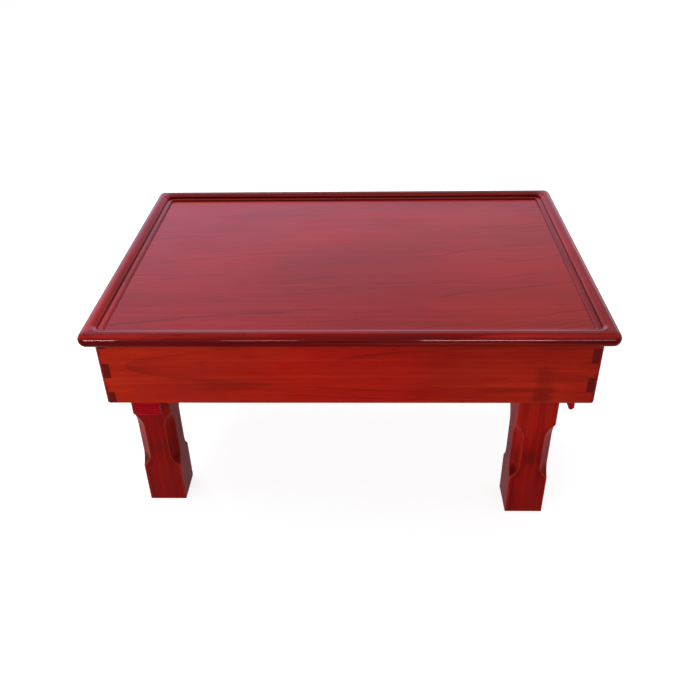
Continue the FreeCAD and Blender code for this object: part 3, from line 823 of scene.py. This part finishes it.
@dataclass
class TableTop:
    """The framed top: a panel inside four mitred rails, with splines across the mitres."""

    rail_arris: float = 0.25 * MM
    panel_pith: Point = (0.0, 0.4, 0.2)
    panel_stains: tuple[StainAndPaintedLight, ...] = (
        StainAndPaintedLight((0.01, -0.09, 0.284), (0.17, 0.16, 0.02), srgb(106, 6, 8), 0.6),)
    rail_tones_and_painted_light: dict[Side, tuple[StainAndPaintedLight, ...]] = field(default_factory=lambda: {
        # Painted highlight: a second, orange glint line along the front rail's nose, near each end.
        Side.FRONT: (
            StainAndPaintedLight((-0.21, -0.2073, 0.2895), (0.14, 0.004, 0.003), srgb(166, 30, 20), 0.8),
            StainAndPaintedLight((0.25, -0.2073, 0.2895), (0.14, 0.004, 0.003), srgb(176, 34, 25), 0.8)),
        # Lighter towards the front end of the left rail.
        Side.LEFT: (StainAndPaintedLight((-0.17, -0.29, 0.288), (0.09, 0.05, 0.03), srgb(160, 16, 12), 0.75),),
        # Painted shade over the whole back rail.
        Side.BACK: (StainAndPaintedLight((0.0, 0.2, 0.285), (0.6, 0.1, 0.05), srgb(72, 1, 1), 0.9),)})
    rail_pith_depth: float = 70 * MM
    rail_pith_aside: float = 35 * MM

    def build(self) -> None:
        """Eases the arrises of the rails."""
        for side in Side:
            ease_arrises("rim_" + side.label, self.rail_arris, segments=2)

    def dress(self, effects: Effects) -> None:
        """Gives the panel, rails and splines their finishes.

        Args:
            effects: The shared effects.
        """
        panel = PANEL_LACQUER.material(
            "lacquered_top_panel", Grain.ALONG_X, self.panel_pith, effects, self.panel_stains)
        dress("top_panel", panel)
        for side in Side:
            node = "rim_" + side.label
            pith = self.rail_pith(node, side.grain)
            stains_and_painted_light = self.rail_tones_and_painted_light.get(side, ())
            dress(node, RIM_LACQUER.material("lacquered_" + node, side.grain, pith, effects, stains_and_painted_light))
        dress("mitre_splines", PALE_TIMBER.material("spline_timber", Grain.ALONG_X, effects))

    def rail_pith(self, node: str, grain: Grain) -> Point:
        """The middle of the tree that a rail was sawn from: below it and a little to one side.

        Args:
            node: The rail's name.
            grain: The way that its fibres run.

        Returns:
            The pith's place, with the fibres' axis first.
        """
        middle = middle_of(node)
        along, across, up = (middle[axis] for axis in grain.value)
        return along, across + self.rail_pith_aside, up - self.rail_pith_depth


@dataclass
class Apron:
    """Four finger-jointed boards under the rim, and the dowels between them and it."""

    board_arris: float = 0.35 * MM
    # Painted shade down the rounded corners of the boards.
    corner_shade: Colour = srgb(88, 13, 22)
    corner_shade_share: float = 0.7
    corner_shade_reach: Point = (0.0055, 0.0055, 0.3)
    pith_depth: float = 55 * MM
    pith_rise: float = 12 * MM
    front_stains: tuple[StainAndPaintedLight, ...] = (
        StainAndPaintedLight((0.0, -0.196, 0.235), (0.15, 0.03, 0.08), srgb(190, 15, 6), 0.8),
        StainAndPaintedLight((0.224, -0.196, 0.198), (0.014, 0.03, 0.042), srgb(100, 14, 13), 0.6),
        StainAndPaintedLight((0.262, -0.196, 0.226), (0.04, 0.03, 0.007), srgb(104, 16, 14), 0.4),
        StainAndPaintedLight((0.18, -0.196, 0.21), (0.05, 0.03, 0.006), srgb(104, 16, 14), 0.5),
        StainAndPaintedLight((0.12, -0.196, 0.23), (0.07, 0.03, 0.06), srgb(140, 20, 11), 0.45),
        StainAndPaintedLight((-0.14, -0.196, 0.216), (0.07, 0.03, 0.009), srgb(112, 16, 12), 0.5))

    def build(self) -> None:
        """Eases the arrises of the boards."""
        for side in Side:
            ease_arrises("apron_" + side.label, self.board_arris, segments=2)

    def dress(self, effects: Effects) -> None:
        """Gives the boards and dowels their finishes.

        Args:
            effects: The shared effects.
        """
        tops = [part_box("apron_" + side.label)[1] for side in Side]
        outer = (max(top.x for top in tops), max(top.y for top in tops))
        for side in Side:
            node = "apron_" + side.label
            middle = middle_of(node)
            along, across, up = (middle[axis] for axis in side.grain.value)
            inward = -math.copysign(self.pith_depth, across)
            pith = (along, across + inward, up + self.pith_rise)
            corner = (*(outer[axis] for axis in side.grain.value[:2]), up)
            stains_and_painted_light = (
                *(self.front_stains if side is Side.FRONT else ()),
                # Painted shade on the board's rounded corners.
                StainAndPaintedLight(corner, self.corner_shade_reach, self.corner_shade, self.corner_shade_share, axis=(0.0, 0.0, 0.0)))
            dress(node, APRON_LACQUER.material("lacquered_" + node, side.grain, pith, effects, stains_and_painted_light))
        dress("apron_dowels", PALE_TIMBER.material("dowel_timber", Grain.ALONG_Z, effects))


@dataclass
class CrossScrews:
    """The countersunk screws of all the brackets, with a cross recess in each head."""

    name: str = "cross_head_screws"
    cross_reach: float = 2.0 * MM
    cross_width: float = 0.95 * MM
    cross_depth: float = 1.3 * MM
    cross_taper: float = 0.5
    cutter_rise: float = 0.3 * MM
    turn_between: float = math.radians(37)

    def build(self) -> None:
        """Cuts a cross into the head of each screw."""
        screws = stand_in(self.name, "bracket_screws", "table_top")
        solid = bmesh.new()
        solid.from_mesh(screws.data)
        bmesh.ops.remove_doubles(solid, verts=solid.verts, dist=WELD)
        heads = self.find_heads(solid)
        solid.to_mesh(screws.data)
        solid.free()
        cutter = bpy.data.objects.new("cutter", self.make_crosses(heads))
        bpy.context.scene.collection.objects.link(cutter)
        cut = screws.modifiers.new("cut", "BOOLEAN")
        cut.object = cutter
        cut.solver = "EXACT"
        shapes = bpy.context.evaluated_depsgraph_get()
        cut_mesh = bpy.data.meshes.new_from_object(screws.evaluated_get(shapes))
        screws.modifiers.remove(cut)
        screws.data = cut_mesh
        bpy.data.objects.remove(cutter)
        LOG.info("%s: %d heads cut", self.name, len(heads))

    def find_heads(self, solid: bmesh.types.BMesh) -> list[tuple[Vector, Vector]]:
        """Finds the heads of the screws: of a screw's two ends, the wider one.

        Args:
            solid: All the screws.

        Returns:
            The middle of each head's flat face, and the way that it faces.
        """
        heads = []
        unseen = dict.fromkeys(solid.verts)
        while unseen:
            places = [vertex.co.copy() for vertex in self.take_screw(unseen)]
            low = Vector(min(place[axis] for place in places) for axis in range(3))
            high = Vector(max(place[axis] for place in places) for axis in range(3))
            along = max(range(3), key=lambda axis: high[axis] - low[axis])
            ends = []
            for outward, level in ((-1.0, low[along]), (1.0, high[along])):
                middle = (low + high) / 2
                middle[along] = level
                spread = max((place - middle).length for place in places
                             if abs(place[along] - level) < WELD)
                facing = Vector(outward if axis == along else 0.0 for axis in range(3))
                ends.append((spread, middle, facing))
            heads.append(max(ends, key=lambda end: end[0])[1:])
        return heads

    def take_screw(self, unseen: dict[bmesh.types.BMVert, None]) -> list[bmesh.types.BMVert]:
        """Takes the vertices of one screw out of those not yet seen.

        Args:
            unseen: The vertices not yet seen, in an order that is the same each run.

        Returns:
            The screw's vertices.
        """
        screw = [next(iter(unseen))]
        del unseen[screw[0]]
        for vertex in screw:
            for edge in vertex.link_edges:
                other = edge.other_vert(vertex)
                if other in unseen:
                    del unseen[other]
                    screw.append(other)
        return screw

    def make_crosses(self, heads: list[tuple[Vector, Vector]]) -> bpy.types.Mesh:
        """Makes the tapered crosses that are cut out of the heads.

        Args:
            heads: The middle of each head's flat face, and the way that it faces.

        Returns:
            The crosses, as one mesh.
        """
        crosses = bmesh.new()
        half = self.cross_width / 2
        arm = ((half, half), (half, self.cross_reach), (-half, self.cross_reach))
        for number, (middle, facing) in enumerate(heads):
            face = facing.to_track_quat("Z", "Y").to_matrix()
            rings = []
            for height, size in ((self.cutter_rise, 1.0), (-self.cross_depth, self.cross_taper)):
                ring = []
                for quarter in range(4):
                    turn = Matrix.Rotation(number * self.turn_between + quarter * math.pi / 2, 3, "Z")
                    for x, y in arm:
                        corner = turn @ Vector((x * size, y * size, height))
                        ring.append(crosses.verts.new(middle + face @ corner))
                rings.append(ring)
            top, bottom = rings
            crosses.faces.new(top)
            crosses.faces.new(reversed(bottom))
            for here, after in zip(range(len(top)), (*range(1, len(top)), 0)):
                crosses.faces.new((top[after], top[here], bottom[here], bottom[after]))
        bmesh.ops.recalc_face_normals(crosses, faces=crosses.faces)
        mesh = bpy.data.meshes.new("crosses")
        crosses.to_mesh(mesh)
        crosses.free()
        return mesh


@dataclass
class CornerUnits:
    """At each corner a folding leg in its hinge bracket, with its pins, press lever and leaf spring."""

    leg_pith_aside: float = 45 * MM
    leg_arris: float = 0.7 * MM
    blotch_height: float = 92 * MM
    blotch_reach: Point = (0.018, 0.05, 0.05)
    blotch_tone: Colour = srgb(88, 10, 10)
    blotch_share: float = 0.6
    # Painted shade in the scoop where each chamfer stops above the foot.
    scoop: Point = (68 * MM, 19 * MM, 19 * MM)
    scoop_shade_reach: Point = (0.014, 0.008, 0.008)
    scoop_shade: Colour = srgb(50, 6, 4)
    scoop_shade_share: float = 0.85
    painted_leg_light: dict[Corner, tuple[StainAndPaintedLight, ...]] = field(default_factory=lambda: {
        # Painted shade: the front left leg darkened where the key light falls strongest.
        Corner.FRONT_LEFT: (StainAndPaintedLight((0.1, -0.22, -0.16), (0.3, 0.2, 0.2), srgb(124, 10, 9), 0.45),),
        # Painted light: the top of the front right leg lightened in the apron's shadow.
        Corner.FRONT_RIGHT: (StainAndPaintedLight((0.17, 0.22, -0.16), (0.05, 0.2, 0.2), srgb(206, 36, 22), 0.5),)})
    spring_kept: float = 0.25

    def build(self) -> None:
        """Eases the arrises of the legs, copies the leaf springs and cuts a cross recess into the screws."""
        for corner in Corner:
            ease_arrises("leg_" + corner.label, self.leg_arris)
            self.make_spring(corner)
        CrossScrews().build()

    def make_spring(self, corner: Corner) -> None:
        """Makes a copy of a corner's leaf spring, shown in its place.

        Args:
            corner: The corner.
        """
        node = "lever_spring_" + corner.label
        spring = stand_in("bowed_leaf_" + corner.label, node, "table_top")
        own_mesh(spring)

    def dress(self, effects: Effects) -> None:
        """Gives every piece of the four corners its finish.

        Args:
            effects: The shared effects.
        """
        plating = BRIGHT_PLATING.material("zinc_plating", effects)
        blued = BLUED_STEEL.material("blued_leaf", effects)
        crimson = CRIMSON_PLASTIC.material("crimson_moulding", effects)
        for corner in Corner:
            node = "leg_" + corner.label
            middle = middle_of(node)
            pith = (0.0, middle.x + self.leg_pith_aside, middle.y + self.leg_pith_aside / 2)
            blotch = (self.blotch_height, middle.x, middle.y)
            stains_and_painted_light = (
                *self.painted_leg_light.get(corner, ()),
                StainAndPaintedLight(blotch, self.blotch_reach, self.blotch_tone, self.blotch_share),
                StainAndPaintedLight(self.scoop, self.scoop_shade_reach, self.scoop_shade, self.scoop_shade_share,
                      axis=(0.0, middle.x, middle.y)))
            dress(node, LEG_LACQUER.material("lacquered_" + node, Grain.ALONG_Z, pith, effects, stains_and_painted_light))
            for piece in ("hinge_bracket_", "pivot_pin_", "stop_pin_", "lever_pin_"):
                dress(piece + corner.label, plating)
            for piece in ("lever_spring_", "bowed_leaf_"):
                dress(piece + corner.label, blued)
            dress("lock_lever_" + corner.label, crimson)
        for piece in ("bracket_screws", CrossScrews.name):
            dress(piece, plating)


@dataclass(frozen=True)
class Softbox:
    """A rectangular lamp, with its place, its width and height in metres, and its power in watts."""

    name: str
    place: Point
    size: tuple[float, float]
    power: float
    role: LampRole = LampRole.FILL

    def hang(self, aim: Point) -> bpy.types.Object:
        """Hangs the lamp.

        Args:
            aim: The point that it faces.

        Returns:
            The lamp.
        """
        light = bpy.data.lights.new(self.name, "AREA")
        light.shape = "RECTANGLE"
        light.size, light.size_y = self.size
        light.energy = self.power
        lamp = bpy.data.objects.new(self.name, light)
        lamp.location = self.place
        lamp.rotation_euler = (Vector(aim) - Vector(self.place)).to_track_quat("-Z", "Y").to_euler()
        lamp.visible_diffuse = self.role is not LampRole.GLINT
        lamp.visible_glossy = self.role is not LampRole.FILL
        bpy.context.scene.collection.objects.link(lamp)
        return lamp


@dataclass
class Studio:
    """A pale floor, soft lamps, a white surround and the camera."""

    floor_size: float = 12.0
    floor_shade: Colour = (0.36, 0.36, 0.36, 1.0)
    floor_mirrored: Colour = (0.08, 0.08, 0.08, 1.0)
    floor_glow: float = 0.84
    floor_front: Span = (-0.3, -0.1)
    floor_under: Span = (0.15, 0.5)
    floor_mirror_glow: Span = (0.08, 0.27)
    floor_mirror_tint: Colour = (0.9, 0.95, 1.1, 1.0)
    white: Colour = (1.0, 1.0, 1.0, 1.0)
    ambient: Colour = (0.42, 0.42, 0.42, 1.0)
    unlit: Colour = (0.04, 0.04, 0.04, 1.0)
    front_paper: Colour = (0.34, 0.34, 0.36, 1.0)
    front_rise: Span = (0.1, 0.45)
    cool_paper: Colour = (0.86, 0.9, 1.27, 1.0)
    warm_paper: Colour = (0.62, 0.56, 0.55, 1.0)
    paper_slant: float = 2.5
    paper_turn: Span = (0.72, 1.58)
    paper_side: Span = (-0.35, 0.45)
    paper_top: Span = (0.97, 0.86)
    paper_crown: Colour = (1.5, 1.45, 1.55, 1.0)
    crown_height: Span = (0.64, 0.72)
    aim: Point = (0.0, 0.0, 0.2)
    softboxes: tuple[Softbox, ...] = (
        Softbox("front_softbox", (-1.3, -1.9, 0.95), (1.2, 1.0), 14.0),
        Softbox("top_softbox", (-0.5, 0.9, 2.1), (1.8, 1.8), 62.0),
        Softbox("left_softbox", (-1.8, -0.3, 0.25), (0.9, 0.4), 12.0),
        Softbox("right_softbox", (1.8, -0.3, 0.25), (0.9, 0.4), 9.0),
        Softbox("under_softbox", (0.0, 0.0, -0.8), (1.6, 1.2), 7.0, LampRole.BOTH))
    strips: tuple[Softbox, ...] = (
        Softbox("strip_1", (-1.17, -2.6, 0.58), (0.2, 0.3), 14.5, LampRole.GLINT),
        Softbox("strip_2", (-0.44, -2.6, 0.5), (0.32, 0.3), 6.0, LampRole.GLINT),
        Softbox("strip_3", (0.52, -2.6, 0.42), (0.56, 0.3), 24.0, LampRole.GLINT),
        Softbox("strip_4", (0.97, -2.6, 0.42), (0.34, 0.3), 5.2, LampRole.GLINT))
    strip_tint: Point = (1.0, 0.5, 0.6)
    camera_place: Point = (23.61 * MM, -912.38 * MM, 739.72 * MM)
    camera_yaw: float = -1.686
    camera_pitch: float = 33.542
    camera_roll: float = 0.991
    focal_pixels: float = 767.30
    frame_pixels: float = 700.0
    sensor: float = 36.0

    def build(self) -> None:
        """Makes the floor, the surround, the lamps and the camera."""
        bpy.context.scene.view_settings.view_transform = "Standard"
        self.make_floor()
        self.make_surround()
        for softbox in self.softboxes:
            softbox.hang(self.aim)
        self.make_glints()
        self.make_camera()

    def make_floor(self) -> None:
        """A wide floor that reads as white and takes the table's shadow.

        From below it can't be seen, and it lets the light of the lamp under it through.
        """
        mesh = bpy.data.meshes.new("floor")
        half = self.floor_size / 2
        corners = [(-half, -half, 0), (half, -half, 0), (half, half, 0), (-half, half, 0)]
        mesh.from_pydata(corners, [], [(0, 1, 2, 3)])
        floor = bpy.data.objects.new("floor", mesh)
        bpy.context.scene.collection.objects.link(floor)
        material = bpy.data.materials.new("pale_floor")
        material.use_nodes = True
        graph = Graph(material.node_tree)
        graph.tree.nodes.remove(graph.tree.nodes["Principled BSDF"])
        direct, mirrored = self.seen(graph)
        matt = graph.add("ShaderNodeBsdfDiffuse", {
            "Color": graph.mix(mirrored, self.floor_shade, self.floor_mirrored)})
        glow = graph.add("ShaderNodeEmission", {
            "Color": graph.mix(mirrored, self.white, self.floor_mirror_tint),
            "Strength": self.floor_light(graph, direct, mirrored)})
        both = graph.add("ShaderNodeAddShader", {0: matt.outputs[0], 1: glow.outputs[0]})
        clear = graph.add("ShaderNodeBsdfTransparent")
        below = graph.add("ShaderNodeNewGeometry").outputs["Backfacing"]
        shadow = graph.add("ShaderNodeLightPath").outputs["Is Shadow Ray"]
        sheet = graph.add("ShaderNodeMixShader", {
            0: graph.math("MAXIMUM", below, shadow), 1: both.outputs[0], 2: clear.outputs[0]})
        output = graph.tree.nodes["Material Output"]
        graph.tree.links.new(sheet.outputs[0], output.inputs["Surface"])
        mesh.materials.append(material)

    def floor_light(self, graph: Graph, direct: Socket, mirrored: Socket) -> Socket:
        """How bright the floor is by itself: white where it is seen, and in mirrors dim before the table.

        Args:
            graph: The floor's material.
            direct: Whether a ray shows the floor directly.
            mirrored: Whether it shows the floor in a mirror.

        Returns:
            The strength of the floor's own light.
        """
        place = graph.add("ShaderNodeNewGeometry").outputs["Position"]
        beside = graph.step(graph.vector("LENGTH", place)["Value"], *self.floor_under)
        behind = graph.step(graph.parts(place)["Y"], *self.floor_front)
        mirror_glow = graph.math("MULTIPLY", graph.span(beside, *self.floor_mirror_glow), behind)
        return graph.math("ADD", graph.math("MULTIPLY", direct, self.floor_glow),
                          graph.math("MULTIPLY", mirrored, mirror_glow))

    def seen(self, graph: Graph) -> tuple[Socket, Socket]:
        """Whether a ray shows a surface directly, and whether it does in a mirror or through glass."""
        paths = graph.add("ShaderNodeLightPath").outputs
        mirrored = graph.math("MAXIMUM", paths["Is Glossy Ray"], paths["Is Transmission Ray"])
        return paths["Is Camera Ray"], mirrored

    def make_surround(self) -> None:
        """A white surround for what is seen, and an even, softer light for the rest.

        In mirrors the surround is white at the back of the table, as a paper backdrop is, and dim before it.
        """
        world = bpy.data.worlds.new("surround")
        world.use_nodes = True
        bpy.context.scene.world = world
        graph = Graph(world.node_tree)
        direct, mirrored = self.seen(graph)
        sight = graph.parts(graph.add("ShaderNodeTexCoord").outputs["Generated"])
        aside = graph.math("MULTIPLY_ADD", sight["Z"], self.paper_slant, sight["X"])
        paper = graph.mix(graph.step(aside, *self.paper_turn), self.cool_paper, self.warm_paper)
        paper = graph.mix(graph.step(sight["Z"], *self.crown_height), paper, self.paper_crown)
        backdrop = graph.math("MULTIPLY", graph.step(sight["Y"], *self.paper_side),
                              graph.step(sight["Z"], *self.paper_top))
        front = graph.mix(graph.step(sight["Z"], *self.front_rise), self.unlit, self.front_paper)
        plain = graph.mix(direct, self.ambient, self.white)
        colour = graph.mix(mirrored, plain, graph.mix(backdrop, front, paper))
        graph.tree.links.new(colour, graph.tree.nodes["Background"].inputs["Color"])

    def make_glints(self) -> None:
        """Hangs a row of strip lamps that show as one broken line in the gloss of the front rail."""
        front_rail = bpy.data.collections.new("front_rail")
        front_rail.objects.link(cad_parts["rim_front"])
        for strip in self.strips:
            lamp = strip.hang(self.aim)
            lamp.data.color = self.strip_tint
            lamp.light_linking.receiver_collection = front_rail

    def make_camera(self) -> None:
        """Sets the camera where the photograph was taken from."""
        yaw, pitch, roll = (math.radians(angle) for angle in (
            self.camera_yaw, self.camera_pitch, self.camera_roll))
        forward = Vector((
            math.sin(yaw) * math.cos(pitch), math.cos(yaw) * math.cos(pitch), -math.sin(pitch)))
        level = Vector((math.cos(yaw), -math.sin(yaw), 0.0))
        below = forward.cross(level)
        right = level * math.cos(roll) + below * math.sin(roll)
        down = below * math.cos(roll) - level * math.sin(roll)
        data = bpy.data.cameras.new("camera")
        data.sensor_width = self.sensor
        data.lens = self.focal_pixels / self.frame_pixels * self.sensor
        camera = bpy.data.objects.new("camera", data)
        axes = Matrix((right, -down, -forward)).transposed()
        camera.matrix_world = Matrix.Translation(self.camera_place) @ axes.to_4x4()
        bpy.context.scene.collection.objects.link(camera)
        bpy.context.scene.camera = camera


def main() -> None:
    """Dresses the table, piece by piece, and sets up the studio."""
    logging.basicConfig(level=logging.INFO, format="%(name)s: %(message)s")
    effects = Effects.build()
    for unit in (TableTop(), Apron(), CornerUnits()):
        unit.build()
        unit.dress(effects)
    Studio().build()


if __name__ == "__main__":
    main()
